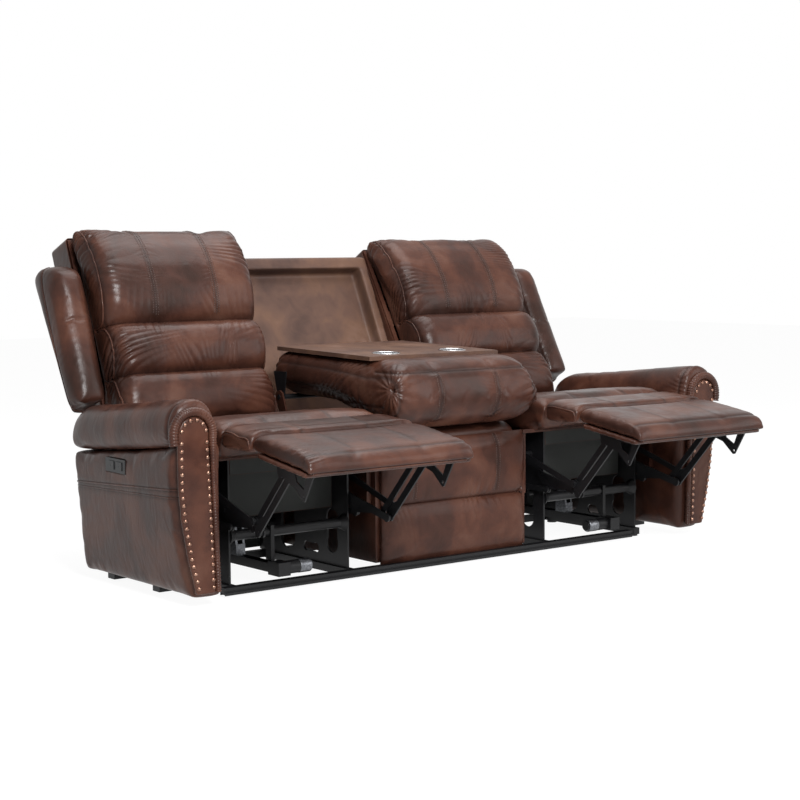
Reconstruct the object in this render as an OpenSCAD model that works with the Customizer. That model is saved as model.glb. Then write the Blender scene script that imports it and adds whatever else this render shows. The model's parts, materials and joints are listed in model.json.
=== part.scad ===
// Power reclining sofa: two reclining end seats and a fixed centre seat with a fold-down console.
// Millimetres. X runs along the width, Y to the back, Z up from the floor.

/* [Overall] */
// Distance from the centre line to the middle of each reclining seat
seat_mid = 602; // [596:0.5:606]
// Half width of the centre section
centre_half = 299; // [290:0.5:300]
// Distance from the centre line to an arm's inner face
arm_inner = 903; // [900:0.5:920]
// Half width of the seat and back cushions of a reclining seat
cushion_half = 290; // [270:1:291]

/* [Arms] */
// Height of an arm's lower edge above the floor
arm_bottom = 32; // [30:0.5:36]
// Height of the arm body where the roll sits on it, at the front
arm_top = 446; // [436:1:460]
// Drop of the arm roll from front to rear over its length
roll_drop = 62; // [40:1:70]
// Depth of the arm at the floor
arm_depth = 643; // [620:1:643]
// Set-back of the arm's rear upper corner behind its rear lower corner
arm_rake = 22; // [15:1:24]
// Thickness of the nailed facing on the arm front
facing_t = 14; // [8:0.5:20]
// Spacing of the nail heads
nail_pitch = 21; // [18:0.5:26]
// Radius of a nail head
nail_r = 5.2; // [4:0.1:6.5]
// Width of the control plate
plate_w = 125; // [110:1:140]
// Height of the control plate
plate_h = 40; // [36:0.5:60]
// Travel of a control key
key_travel = 1.2; // [0.8:0.1:1.6]

/* [Base] */
// Height of the base rails' underside, which is the glide height
rail_low = 6; // [4:0.5:8]
// Height of the base rails' upper side
rail_top = 28; // [24:0.5:28]
// Radius of a round glide
glide_r = 17; // [12:0.5:20]

/* [Footrest linkage] */
// Base pivot of the rear link, height
rear_pivot_z = 245; // [244:0.1:246]
// Folding angle of the footrest
fold_deg = 80; // [70:1:80]
// Thickness of the link plates
link_t = 5; // [4:0.1:5.2]
// Radius of the link pins
link_pin_r = 6; // [5:0.1:7]
// Width of the link bars
link_w = 24; // [20:0.5:26]
// Thickness of the footrest board
board_t = 15; // [12:0.5:16]
// Half width of the footrest board
board_half = 282; // [255:1:285]
// Radius of the fixed cross tubes
tube_r = 15; // [10:0.5:16]

/* [Drive] */
// Distance of the drive from the seat's middle, towards the arm
drive_x = 62; // [50:1:90]
// Length of the drive cranks
crank_len = 60; // [60:0.1:60.2]
// Radius of the lead screw
screw_r = 6; // [5:0.1:7]
// Radius of the motor
motor_r = 19.5; // [16:0.5:21]

/* [Backs] */
// Lean of the backs from upright
back_lean = 22; // [21:0.1:22]
// Height of the shell behind a back cushion
shell_h = 632; // [600:1:634]
// Depth of the shell behind a back cushion
shell_d = 106; // [90:1:110]
// Further recline of the right-hand back as it stands
right_recline = 8; // [6:0.5:10]
// Radius of the recline and console pivots
pivot_r = 8; // [6:0.1:9]

/* [Console] */
// Half width of the console tray
tray_half = 257; // [240:1:257]
// Thickness of the console tray
tray_t = 13; // [10:0.5:16]
// Distance of each cup holder from the centre line
cup_x = 133; // [120:1:145]
// Inner radius of a cup holder
cup_r = 38; // [36:0.5:40]
// Depth of a cup holder below the tray's upper side
cup_depth = 60; // [50:1:62]
// Depth of the recess in the fixed centre back
recess_d = 50; // [48:0.5:55]

/* [Hidden] */

// Colours
leather = [0.24, 0.17, 0.15];
leather_light = [0.30, 0.21, 0.18];
board_leather = [0.27, 0.18, 0.16];
lining = [0.13, 0.13, 0.14];
black_steel = [0.07, 0.07, 0.075];
plated = [0.62, 0.62, 0.63];
copper = [0.62, 0.40, 0.28];
black_plastic = [0.04, 0.04, 0.045];

// Clearances: soft pieces beside what they rest on, rigid pieces that touch, and pins in holes
soft_gap = 0.25;
touch = 0.1;
pin_gap = 0.05;
// Play of the control link's front eye, which takes up the linkage's small closing error
loose_gap = 1.2;

// Side-view points [y, z] of the footrest linkage, extended
rear_pivot = [140, rear_pivot_z];
front_joint = rear_pivot + [-192, -45];
board_joint = front_joint + [-158, 172];
link_dir = (rear_pivot - front_joint) / norm(rear_pivot - front_joint);
joint_step = 34;
guide_joint = front_joint + joint_step * link_dir;
board_joint_rear = board_joint + joint_step * link_dir;
control_pivot = rear_pivot + [49.4, 61.8];
control_joint = front_joint + [10.8, 32.2];
crank_lean = 40;
crank_vec = crank_len * [-sin(crank_lean), -cos(crank_lean)];
tail_joint = rear_pivot + crank_vec;
crank_pivot = rear_pivot + [220, 0];
crank_joint = crank_pivot + crank_vec;
nut_travel = 2 * crank_len * sin(crank_lean);

// Distances of the linkage's layers from the seat's middle
side_x = 205;
side_t = 6;
layer_step = link_t + 2;
rear_x = side_x + side_t + 2;
guide_x = rear_x + layer_step;
front_x = guide_x + layer_step;
bracket_x = front_x + layer_step;
control_x = bracket_x + layer_step;
head_t = 1.2;
head_gap = 0.4;

// Footrest board: tilt, height of its underside over the joint, pad length behind the joint
board_tilt = 8.5;
board_over = 31;
pad_behind = 118;
board_start = 28;
board_end = 258;
board_front = [-cos(board_tilt), -sin(board_tilt)];
board_up = [-sin(board_tilt), cos(board_tilt)];
pad_origin = board_joint + board_over * board_up - pad_behind * board_front;
pad_seat = board_t + soft_gap;

// Footrest pad outline, [distance to the front, height over the board's underside]
pad_top = [[0, 36], [8, 52], [34, 59], [80, 60], [130, 60], [180, 59], [225, 57], [254, 50], [273, 36], [281, 18]];
pad_low = [[0, 22], [12, pad_seat], [34, pad_seat], [80, pad_seat], [130, pad_seat], [180, pad_seat],
    [225, pad_seat], [board_end + 2, pad_seat], [board_end + 4.5, 7], [board_end + 12, 2]];
function pad_y(p) = pad_origin[0] + p[0] * board_front[0] + p[1] * board_up[0];

// Recline pivot in side view, and the distance of the shell's front from it
recline_at = [650, 430];
shell_y = 22;

// Centre back: upper front corner, lean, total thickness
top_front = [958, 949];
centre_lean = 24.8;
recess_wall = 12;
back_t = recess_d + recess_wall;
centre_up = [sin(centre_lean), cos(centre_lean)];
centre_rear = [cos(centre_lean), -sin(centre_lean)];

// The origin lies below the middle of the whole piece
y_low = min([for (p = pad_top) pad_y(p)]);
right_lean = back_lean + right_recline;
y_high = recline_at[0] + (shell_y + shell_d) * cos(right_lean) + shell_h * sin(right_lean);
y_shift = -(y_low + y_high) / 2;

// Seat deck, a plane that falls to the rear
deck_front = [128, 395];
deck_rear_y = 575;
deck_fall = 50 / 447;
deck_t = 12;
function deck_z(y) = deck_front[1] - (y - deck_front[0]) * deck_fall;
function deck_under(y) = deck_z(y) - deck_t - touch;

// Console hinge and tray front in side view
hinge_at = [630, 503];
tray_front = [197, 636];
tray_len = 496;
tray_tilt = 1.5;
function tray_under(y) = tray_front[1] + (y - tray_front[0]) * tan(tray_tilt) - soft_gap;

// Arm section
arm_y = 8;
arm_len = arm_depth + arm_rake - arm_y;
arm_slope = roll_drop / arm_len;
function arm_z(y) = arm_top - (y - arm_y) * arm_slope;
function outer_x(z) = arm_inner + lookup(z, [[32, 98], [81, 109], [138, 124], [249, 144], [330, 152], [470, 152]]);
function rear_outer_x(z) = arm_inner + lookup(z, [[32, 98], [180, 109], [280, 113], [470, 113]]);
side_fall = (outer_x(360) - rear_outer_x(360)) / arm_len;
face_outer = [[40, 1000], [81, 1008], [138, 1023], [249, 1043], [330, 1050], [465, 1051]];
face_inner = [[40, 938], [155, 941], [266, 945], [376, 950], [465, 954]];
arch_at = [1002.5, 480];
arch_r = 48.5;

function lerp(a, b, t) = a + (b - a) * t;

// Width stations [x, upper share, lower share, lift] of a cushion with rounded sides and two sewn channels
function crowned(half, edge, low_edge, channel) =
    let (side = [[half, edge, low_edge], [half - 7, lerp(edge, 1, 0.5), lerp(low_edge, 1, 0.7)],
        [half - 24, lerp(edge, 1, 0.82), 1], [half - 58, lerp(edge, 1, 0.96), 1],
        [channel + 20, 1, 1], [channel, 0.955, 1], [channel - 20, 1, 1]])
    concat([for (s = side) [-s[0], s[1], s[2], 0]], [[0, 1.005, 1, 0]],
        [for (i = [len(side) - 1:-1:0]) [side[i][0], side[i][1], side[i][2], 0]]);

// A sewn form lofted along X between an upper and a lower outline in side view
module sewn(upper, lower, stations) {
    n = len(upper);
    m = 2 * n;
    last = len(stations) - 1;
    loops = [for (s = stations) let (k = len(s) > 4 ? s[4] : 1) each concat(
        [for (i = [0:n - 1]) let (p = lerp((upper[i] + lower[i]) / 2, upper[i], s[1])) [s[0], k * p[0], p[1] + s[3]]],
        [for (i = [n - 1:-1:0]) let (p = lerp((upper[i] + lower[i]) / 2, lower[i], s[2])) [s[0], k * p[0], p[1] + s[3]]])];
    skin = [for (j = [0:last - 1]) for (i = [0:m - 1]) let (a = j * m + i, b = j * m + (i + 1) % m)
        each [[a, b, b + m], [a, b + m, a + m]]];
    near_end = [for (i = [0:n - 2]) each [[i, m - 1 - i, i + 1], [i + 1, m - 1 - i, m - 2 - i]]];
    far_end = [for (i = [0:n - 2]) let (k = last * m)
        each [[k + i, k + i + 1, k + m - 1 - i], [k + i + 1, k + m - 2 - i, k + m - 1 - i]]];
    polyhedron(points = loops, faces = concat(skin, near_end, far_end), convexity = 8);
}

// Moves the drawing frame, whose Y starts at the arm fronts, into the part's frame
module set_in() translate([0, y_shift, 0]) children();

// Places a piece that is drawn for the right-hand side
module on_side(side) set_in() mirror([side < 0 ? 1 : 0, 0, 0]) children();
module at_seat(side) on_side(side) translate([seat_mid, 0, 0]) children();
module both_ways() {
    children();
    mirror([1, 0, 0]) children();
}

// A side view [y, z] made into a plate from x to x + t
module plate(x, t) translate([x, 0, 0]) rotate([90, 0, 90]) linear_extrude(height = t) children();
module rod(at, x, len, r) translate([x, at[0], at[1]]) rotate([0, 90, 0]) cylinder(h = len, r = r, $fn = 40);
module eye(at, r) translate(at) circle(r = r, $fn = 40);
module bar(a, b, w, waist = 0.86) {
    translate(a) rotate(atan2(b[1] - a[1], b[0] - a[0])) translate([0, -w * waist / 2])
        square([norm(b - a), w * waist]);
    eye(a, w / 2);
    eye(b, w / 2);
}

// A pin that stands in a plate and carries a thin head past the outer plate
module headed_pin(at, x, outer_face) {
    rod(at, x, outer_face + head_gap + head_t - x, link_pin_r);
    rod(at, outer_face + head_gap, head_t, link_pin_r + 2.5);
}
module inward_pin(at, x, inner_face) {
    rod(at, inner_face - head_gap - head_t, x - inner_face + head_gap + head_t, link_pin_r);
    rod(at, inner_face - head_gap - head_t, head_t, link_pin_r + 2.5);
}

// Base

rail_h = rail_top - rail_low;
front_rail_y = 90;
rail_w = 28;
rear_rail_y = 560;
front_rail_left = 850;
front_rail_right = 760;
front_rail_len = front_rail_left + front_rail_right;
runner_w = 24;
outrigger_y = [250, 510];

module base_frame() color(black_steel) set_in() {
    difference() {
        translate([-front_rail_left, front_rail_y, rail_low]) cube([front_rail_len, rail_w, rail_h]);
        translate([-front_rail_left - 1, front_rail_y - 1, rail_low + rail_h * 0.35])
            cube([front_rail_len + 2, 6, rail_h * 0.3]);
        translate([-front_rail_left - 1, front_rail_y + 4, rail_low - 1])
            cube([front_rail_len + 2, rail_w - 8, rail_h * 0.3 + 1]);
    }
    translate([-arm_inner + 20, rear_rail_y, rail_low]) cube([2 * arm_inner - 40, rail_w, rail_h]);
    for (side = [-1, 1], edge = [-1, 1])
        translate([side * seat_mid + edge * (side_x + side_t / 2) - runner_w / 2, front_rail_y + rail_w, rail_low])
            cube([runner_w, rear_rail_y - front_rail_y - rail_w, rail_h]);
    for (side = [-1, 1], y = outrigger_y)
        mirror([side < 0 ? 1 : 0, 0, 0]) {
            translate([seat_mid + side_x + side_t, y, rail_low + 4])
                cube([arm_inner + 70 - seat_mid - side_x - side_t, 22, rail_h - 4]);
            translate([arm_inner + 6, y - 8, rail_low + 4]) cube([64, 38, arm_bottom - touch - rail_low - 4]);
        }
}

module feet() color(black_plastic) set_in()
    for (side = [-1, 1], edge = [-1, 1], y = [front_rail_y + rail_w + glide_r + 4, rear_rail_y - glide_r - 4])
        translate([side * seat_mid + edge * (side_x + side_t / 2), y, 0])
            cylinder(h = rail_low - touch, r = glide_r, $fn = 40);

panel_y = 600.2;
panel_t = 14;
panel_top = 330;

module rear_panel() color(leather) set_in()
    translate([-arm_inner + touch, panel_y, arm_bottom + 2])
        cube([2 * (arm_inner - touch), panel_t, panel_top - arm_bottom - 2]);

// Arms

// The arm's outer side leans out and is drawn in to the rear, between a front and a rear outline
arm_levels = [0, 0.12, 0.26, 0.52, 0.72, 1];
rear_top = arm_z(arm_depth + arm_rake);
function arm_outline(outward) = let (n = len(arm_levels) - 1)
    [for (i = [0:n]) outward(arm_levels[i]), for (i = [n:-1:0]) let (p = outward(arm_levels[i])) [arm_inner, p[1], p[2]]];
front_edge = function (t) let (z = lerp(arm_bottom, arm_top, t)) [outer_x(z), arm_y, z];
rear_edge = function (t) let (z = lerp(arm_bottom, rear_top, t)) [rear_outer_x(z), arm_depth + arm_rake * t, z];

module arm_frame(side) color(leather) on_side(side) {
    front = arm_outline(front_edge);
    n = len(front);
    polyhedron(points = concat(front, arm_outline(rear_edge)), faces = concat([[for (i = [0:n - 1]) i]],
        [for (i = [0:n - 1]) let (j = (i + 1) % n) each [[i, n + i, j], [j, n + i, n + j]]],
        [[for (i = [n - 1:-1:0]) n + i]]), convexity = 4);
}

roll_upper = [[-153, 4], [-160, 21], [-165, 51], [-161, 83], [-146, 110], [-120, 129], [-91, 134],
    [-63, 129], [-37, 110], [-21, 83], [-16, 51], [-11, 21], [-8, 4]];
roll_count = len(roll_upper) - 1;
roll_lower = [for (i = [0:roll_count]) [lerp(-148, -12, i / roll_count), soft_gap]];
roll_narrowing = 0.23;
roll_stations = [[0, 0.93], [8, 1.01], [24, 1.02], [38, 0.965], [54, 1], [arm_len * 0.24, 1], [arm_len * 0.46, 0.995],
    [arm_len * 0.68, 0.985], [arm_len - 82, 0.97], [arm_len - 42, 0.83], [arm_len - 13, 0.62], [arm_len - 3, 0.3]];

module arm_roll(side) color(leather) on_side(side)
    translate([arm_inner, arm_y + soft_gap, 0]) rotate([0, 0, 90])
        sewn(roll_upper, roll_lower, [for (s = roll_stations)
            [s[0], s[1], 1, arm_z(arm_y + s[0]), 1 - roll_narrowing * s[0] / arm_len]]);

module facing_outline() {
    polygon(concat([for (p = face_inner) [p[1], p[0]]], [[arch_at[0] - arch_r, arch_at[1]]],
        [[arch_at[0] + arch_r, arch_at[1]]], [for (i = [len(face_outer) - 1:-1:0]) [face_outer[i][1], face_outer[i][0]]]));
    translate(arch_at) circle(r = arch_r, $fn = 60);
}

module arm_facing(side) color(leather_light) on_side(side) translate([arm_inner - 903, 0, 0]) {
    translate([0, arm_y, 0]) rotate([90, 0, 0]) linear_extrude(height = facing_t - 4) facing_outline();
    translate([0, arm_y - facing_t + 4, 0]) rotate([90, 0, 0]) linear_extrude(height = 4)
        intersection() {
            facing_outline();
            translate([0, -3]) facing_outline();
            translate([-3, 0]) facing_outline();
            translate([3, 0]) facing_outline();
        }
}

nail_inset = nail_r + 4;
nail_low = 58;
nail_rows = floor((465 - nail_low) / nail_pitch);

module nailhead(x, z) translate([x + arm_inner - 903, arm_y - facing_t, z]) rotate([90, 0, 0])
    rotate_extrude($fn = 16) polygon([[0, 0], [nail_r, 0], [nail_r * 0.88, 1.3], [nail_r * 0.55, 2.7], [0, 3.3]]);

module nailheads() color(copper) for (side = [-1, 1]) on_side(side) {
    for (i = [0:nail_rows]) let (z = nail_low + i * nail_pitch) {
        nailhead(lookup(z, face_inner) + nail_inset, z);
        nailhead(lookup(z, face_outer) - nail_inset, z);
    }
    for (a = [14:30.4:166]) nailhead(arch_at[0] + (arch_r - nail_inset) * cos(a), arch_at[1] + (arch_r - nail_inset) * sin(a));
}

// Control plate on the arm's outer side, with an opening for each key, drawn from the plate's middle
plate_y = 367;
plate_z = 345;
plate_t = 4;
key_w = 34;
key_h = 24;
key_gap = 0.25;
key_ys = [-plate_w * 0.22, plate_w * 0.18];

module on_arm_side(side) on_side(side) translate([outer_x(360) - side_fall * (plate_y - arm_y), plate_y, 0])
    rotate([0, 0, atan(side_fall)]) children();

module key_block(y, x, len, grow) translate([x, y - key_w / 2 - grow, plate_z + (plate_h - key_h) / 2 - grow])
    cube([len, key_w + 2 * grow, key_h + 2 * grow]);

module control_plate(side) color(black_plastic) on_arm_side(side) difference() {
    translate([touch, -plate_w / 2, plate_z]) cube([plate_t, plate_w, plate_h]);
    for (y = key_ys) key_block(y, 0, plate_t + 1, key_gap);
}

module control_key(side, y) color(black_plastic) on_arm_side(side)
    difference() {
        key_block(y, touch + key_travel + 0.1, plate_t - key_travel + 2.2, 0);
        translate([plate_t + 2.5 + 12, y, plate_z + plate_h / 2]) sphere(r = 12.8, $fn = 48);
    }

// Reclining seats, drawn with the arm on the side of +X

module seat_frame(side) color(board_leather) at_seat(side) {
    plate(-centre_half, 2 * centre_half) polygon([deck_front, [deck_rear_y, deck_z(deck_rear_y)],
        [deck_rear_y, deck_z(deck_rear_y) - deck_t], [deck_front[0], deck_front[1] - deck_t]]);
    both_ways() plate(centre_half - 16, 16) polygon([[134, 190], [598, 190], [598, deck_z(598) - deck_t],
        [134, deck_z(134) - deck_t]]);
    plate(-side_x + 1, 2 * side_x - 2) {
        polygon([[128, 340], [146, 340], [146, deck_z(146) - deck_t], [128, deck_z(128) - deck_t]]);
        polygon([[204, 205], [211, 205], [211, deck_z(211) - deck_t], [204, deck_z(204) - deck_t]]);
        polygon([[555, 210], [573, 210], [573, deck_z(573) - deck_t], [555, deck_z(555) - deck_t]]);
    }
}

seat_upper = [[42, 462], [50, 480], [72, 491], [120, 495], [200, 491], [290, 481], [380, 467], [460, 453],
    [520, 443], [560, 434], [574, 416]];
seat_lower = [for (p = [[42, 442], [50, 424], [72, 411], [110, 409], [136, 0], [220, 0], [320, 0], [420, 0],
    [510, 0], [566, 0], [574, 370]]) [p[0], p[1] > 0 ? p[1] : deck_z(p[0]) + soft_gap]];

module seat_cushion(side) color(leather) at_seat(side)
    sewn(seat_upper, seat_lower, crowned(cushion_half, 0.5, 1, 113));

bridge_front = pad_origin - soft_gap * board_front;
bridge_upper = [bridge_front + 44 * board_up, [-97, 476], [-60, 484], [-20, 489], [20, 493], [34, 488],
    [42 - soft_gap, 474]];
bridge_lower = [bridge_front + 18 * board_up, [-92, 431], [-60, 430], [-20, 430], [20, 430], [34, 432],
    [42 - soft_gap, 440]];

module chaise_bridge(side) color(leather) at_seat(side)
    sewn(bridge_upper, bridge_lower, crowned(cushion_half - 4, 0.45, 0.9, 113));

// Side plates with the post that carries the recline pivot, the cross tubes and the fixed link pins
rear_tube_at = [520, 120];
front_tube_at = [145, 165];
rear_tube_r = 12;

module side_plate() difference() {
    union() {
        polygon([[128, rail_top + touch], [598, rail_top + touch], [598, 331], [recline_at[0] + 18, 424],
            [recline_at[0] - 18, 430], [577, deck_under(577)], [128, deck_under(128)]]);
        eye(recline_at, 19);
    }
    bar([205, 95], [205, 170], 60);
    bar([440, 90], [440, 200], 80);
    bar([290, 70], [340, 70], 30);
    bar([260, 320], [460, 300], 26);
    eye(crank_pivot, pivot_r + pin_gap);
}

module flare(x, r) translate([x, front_tube_at[0], front_tube_at[1]]) rotate([0, -90, 0])
    cylinder(h = 22, r1 = r + 11, r2 = r - 0.5, $fn = 40);

module mechanism_frame(side) color(black_steel) at_seat(side) {
    both_ways() {
        plate(side_x, side_t) side_plate();
        headed_pin(rear_pivot, side_x, rear_x + link_t);
        headed_pin(control_pivot, side_x, control_x + link_t);
        rod(control_pivot, side_x + side_t, control_x - side_x - side_t - 0.5, link_pin_r + 3);
        rod(recline_at, side_x - 12, 15, pivot_r);
        rod(recline_at, side_x - 12, 2.6, pivot_r + 4);
        flare(side_x, tube_r);
    }
    rod(front_tube_at, -side_x, 2 * side_x, tube_r);
    rod(rear_tube_at, -side_x, 2 * side_x, rear_tube_r);
}

// Footrest links
module eyes(points, r) for (p = points) eye(p, r);

module rear_links(side) color(black_steel) at_seat(side) both_ways() {
    plate(rear_x, link_t) difference() {
        union() {
            bar(rear_pivot, front_joint, link_w + 2);
            bar(rear_pivot, tail_joint, link_w);
            polygon([rear_pivot, tail_joint, guide_joint]);
        }
        eye(rear_pivot, link_pin_r + pin_gap);
    }
    headed_pin(front_joint, rear_x + 1, front_x + link_t);
    rod(front_joint, rear_x + link_t, front_x - rear_x - link_t - 0.5, link_pin_r + 2);
    headed_pin(guide_joint, rear_x + 1, guide_x + link_t);
    headed_pin(tail_joint, rear_x + 1, guide_x + link_t);
}

module front_links(side) color(black_steel) at_seat(side) both_ways() {
    plate(front_x, link_t) difference() {
        union() {
            bar(front_joint, board_joint, link_w);
            bar(front_joint, control_joint, link_w);
            polygon([front_joint, control_joint, lerp(front_joint, board_joint, 0.35)]);
        }
        eyes([front_joint, board_joint], link_pin_r + pin_gap);
    }
    headed_pin(control_joint, front_x + 1, control_x + link_t);
    rod(control_joint, front_x + link_t, control_x - front_x - link_t - 0.5, link_pin_r + 2);
}

module guide_links(side) color(black_steel) at_seat(side) both_ways()
    plate(guide_x, link_t) difference() {
        bar(guide_joint, board_joint_rear, link_w - 2);
        eyes([guide_joint, board_joint_rear], link_pin_r + pin_gap);
    }

module control_links(side) color(black_steel) at_seat(side) both_ways()
    plate(control_x, link_t) difference() {
        union() {
            bar(control_pivot, control_joint, link_w - 4);
            eye(control_joint, link_pin_r + loose_gap + 5);
        }
        eye(control_pivot, link_pin_r + pin_gap);
        eye(control_joint, link_pin_r + loose_gap);
    }

// Footrest, drawn in the board's frame: Y to the rear along the board, Z up from its underside
module on_board() translate([0, pad_origin[0], pad_origin[1]]) rotate([board_tilt, 0, 0]) children();
board_at = [-pad_behind, -board_over];
step_turn = atan2(link_dir[1], link_dir[0]) - board_tilt;
board_at_rear = board_at + joint_step * [cos(step_turn), sin(step_turn)];

module footrest_board(side) color(board_leather) at_seat(side) on_board()
    translate([-board_half, -board_end, 0]) cube([2 * board_half, board_end - board_start, board_t]);

module footrest_brackets(side) color(black_steel) at_seat(side) on_board() both_ways() {
    plate(bracket_x, link_t) difference() {
        union() {
            polygon([[-62, -touch], [-72, -32], [-118, -45], [-150, -50], [-195, -79], [-206, -74], [-236, -touch]]);
            eyes([board_at, board_at_rear], 14);
            eye([-199, -73], 7);
        }
        eye([-199, -68], 4);
        polygon([[-150, -14], [-205, -14], [-196, -48], [-160, -34]]);
    }
    plate(bracket_x, 22) polygon([[-66, -touch], [-236, -touch], [-236, -3], [-66, -3]]);
    inward_pin(board_at, bracket_x + 1, front_x);
    rod(board_at, front_x + link_t + 0.5, bracket_x - front_x - link_t, link_pin_r + 2);
    inward_pin(board_at_rear, bracket_x + 1, guide_x);
}

module footrest_pad(side) color(leather) at_seat(side) on_board()
    sewn([for (i = [len(pad_top) - 1:-1:0]) [-pad_top[i][0], pad_top[i][1]]],
        [for (i = [len(pad_low) - 1:-1:0]) [-pad_low[i][0], pad_low[i][1]]],
        crowned(cushion_half - 2, 0.4, 1, 113));

// Drive: cranks on a cross tube, links to the rear links, and a nut on a lead screw that swings the middle lever
lever_t = 10;
rail_z = 50;
channel_h = 26;
channel_w = 32;
channel_t = 3;
screw_z = rail_z + channel_h / 2 + 1;
nut_len = 50;
cheek_t = 7;
nut_base = rail_z + channel_h + 0.2;

module drive_crank(side) color(black_steel) at_seat(side) {
    rod(crank_pivot, -side_x + 2, 2 * side_x - 4, tube_r - 1);
    both_ways() {
        rod(crank_pivot, side_x - 3, rear_x + link_t - side_x + 4, pivot_r);
        plate(rear_x, link_t) bar(crank_pivot, crank_joint, link_w);
        headed_pin(crank_joint, rear_x + 1, guide_x + link_t);
    }
    plate(drive_x - lever_t / 2, lever_t) bar(crank_pivot, crank_joint, 22);
    rod(crank_joint, drive_x - channel_w / 2 - 2, channel_w + 4, link_pin_r);
}

module drive_links(side) color(black_steel) at_seat(side) both_ways()
    plate(guide_x, link_t) difference() {
        bar(tail_joint, crank_joint, link_w - 4);
        eyes([tail_joint, crank_joint], link_pin_r + pin_gap);
    }

module actuator(side) color(black_steel) at_seat(side) {
    translate([38, 72, 43]) cube([41, 56, 39]);
    rod([100, 43 + motor_r], -44, 83, motor_r);
    rod([100, 43 + motor_r], -50, 6, motor_r - 4);
    difference() {
        translate([drive_x - channel_w / 2, 128, rail_z]) cube([channel_w, 392, channel_h]);
        translate([drive_x - channel_w / 2 + channel_t, 140, rail_z + channel_t])
            cube([channel_w - 2 * channel_t, 370, channel_h]);
    }
    translate([drive_x, 139, screw_z]) rotate([-90, 0, 0]) cylinder(h = 372, r = screw_r, $fn = 32);
    plate(drive_x - 6, 12) difference() {
        union() {
            polygon([[127, rail_z + channel_h - 1], [139, rail_z + channel_h - 1], [168, 130], [168, 184], [127, 184]]);
            polygon([[503, rail_z + channel_h - 1], [520, rail_z + channel_h - 1], [537, 100], [537, 137], [503, 137]]);
        }
        eye(front_tube_at, tube_r + pin_gap);
        eye(rear_tube_at, rear_tube_r + pin_gap);
    }
}

module drive_nut(side) color(plated) at_seat(side) {
    difference() {
        union() {
            translate([drive_x - 12.8, crank_joint[0] - nut_len / 2, rail_z + channel_t + 0.2])
                cube([25.6, nut_len, nut_base - rail_z - channel_t + 1]);
            translate([drive_x - channel_w / 2, crank_joint[0] - nut_len / 2, nut_base]) cube([channel_w, nut_len, 32]);
        }
        translate([drive_x, crank_joint[0] - nut_len, screw_z]) rotate([-90, 0, 0])
            cylinder(h = 2 * nut_len, r = screw_r + pin_gap, $fn = 32);
    }
    for (x = [drive_x - channel_w / 2, drive_x + channel_w / 2 - cheek_t])
        plate(x, cheek_t) difference() {
            polygon([[crank_joint[0] - 22, nut_base + 30], [crank_joint[0] + 22, nut_base + 30],
                [crank_joint[0] + 16, 214], [crank_joint[0] - 16, 214]]);
            bar([crank_joint[0], crank_joint[1] - 14.6], [crank_joint[0], crank_joint[1] + 0.6], 2 * (link_pin_r + 1.5), 1);
        }
}

// Backs, drawn in a frame that leans with the back: Y to the rear, Z up along it, from the recline pivot
function extra_lean(side) = side > 0 ? right_recline : 0;
module turned_back(side, lean) translate([0, recline_at[0], recline_at[1]]) rotate([-lean - extra_lean(side), 0, 0])
    children();
module on_back(side) turned_back(side, back_lean) children();
shell_half = cushion_half - 2;
shell_low = -20;
wing_in = arm_inner - seat_mid + 2;

module back_shell(side) color(leather) at_seat(side) on_back(side) {
    both_ways() {
        translate([shell_half - 16, shell_y, shell_low]) cube([16, shell_d, shell_h - shell_low]);
        plate(side_x - 8, 6) difference() {
            union() {
                eye([0, 0], 20);
                polygon([[-19, 6], [-8, 48], [22.5, 78], [50, 100], [62, 100], [62, 60], [40, 20], [19, -6]]);
            }
            eye([0, 0], pivot_r + pin_gap);
        }
    }
    translate([-shell_half, shell_y + shell_d - 8, shell_low]) cube([2 * shell_half, 8, shell_h - shell_low]);
    translate([-shell_half, shell_y, shell_h - 18]) cube([2 * shell_half, shell_d, 18]);
    translate([-shell_half, 50, shell_low]) cube([2 * shell_half, shell_y + shell_d - 50, 14]);
    translate([-shell_half, 44, 60]) cube([2 * shell_half, 18, 48]);
    translate([-shell_half, shell_y, 330]) cube([2 * shell_half, 18, 60]);
    translate([shell_half - 1, 45, 180]) cube([wing_in - soft_gap - shell_half + 1, 60, 230]);
}

back_upper = [[-60, -25], [-76, 0], [-92, 40], [-99, 85], [-96, 128], [-83, 156], [-104, 184], [-116, 235],
    [-108, 288], [-77, 322], [-104, 356], [-117, 420], [-115, 490], [-101, 552], [-74, 606], [-42, 641]];
back_face = shell_y - soft_gap;
back_lower = [[-26, -25], [-26, 0], [-26, 30], [-26, 60], [back_face, 79], [back_face, 125], [back_face, 170],
    [back_face, 220], [back_face, 270], [back_face, 318], [back_face, 365], [back_face, 420], [back_face, 490],
    [back_face, 552], [back_face - 1, 620], [-2, 648]];

module back_cushion(side) color(leather) at_seat(side) on_back(side)
    sewn(back_upper, back_lower, crowned(cushion_half, 0.5, 1, 110));

wing_upper = [[668, 527], [641, 529], [661, 588], [690, 669], [722, 758], [752, 842], [775, 903], [815, 920]];
wing_lower = [[688, 521], [705, 511], [709, 485], [775, 602], [832, 700], [885, 792], [937, 884], [900, 914]];
wing_t = 95;

module wing(side) color(leather) at_seat(side) turned_back(side, 0) translate([0, -recline_at[0], -recline_at[1]])
    sewn(wing_upper, wing_lower, [for (s = [[0, 0.84, 0.9], [5, 0.95, 0.97], [16, 1, 1], [48, 1.01, 1.01],
        [wing_t - 14, 1, 1], [wing_t - 5, 0.95, 0.97], [wing_t, 0.88, 0.92]]) [wing_in + s[0], s[1], s[2], 0]]);

// Centre section

centre_deck = 345;
hinge_inset = 10;
hinge_x = centre_half - hinge_inset;
hinge_t = 6;
frame_rear = 599.5;

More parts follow.
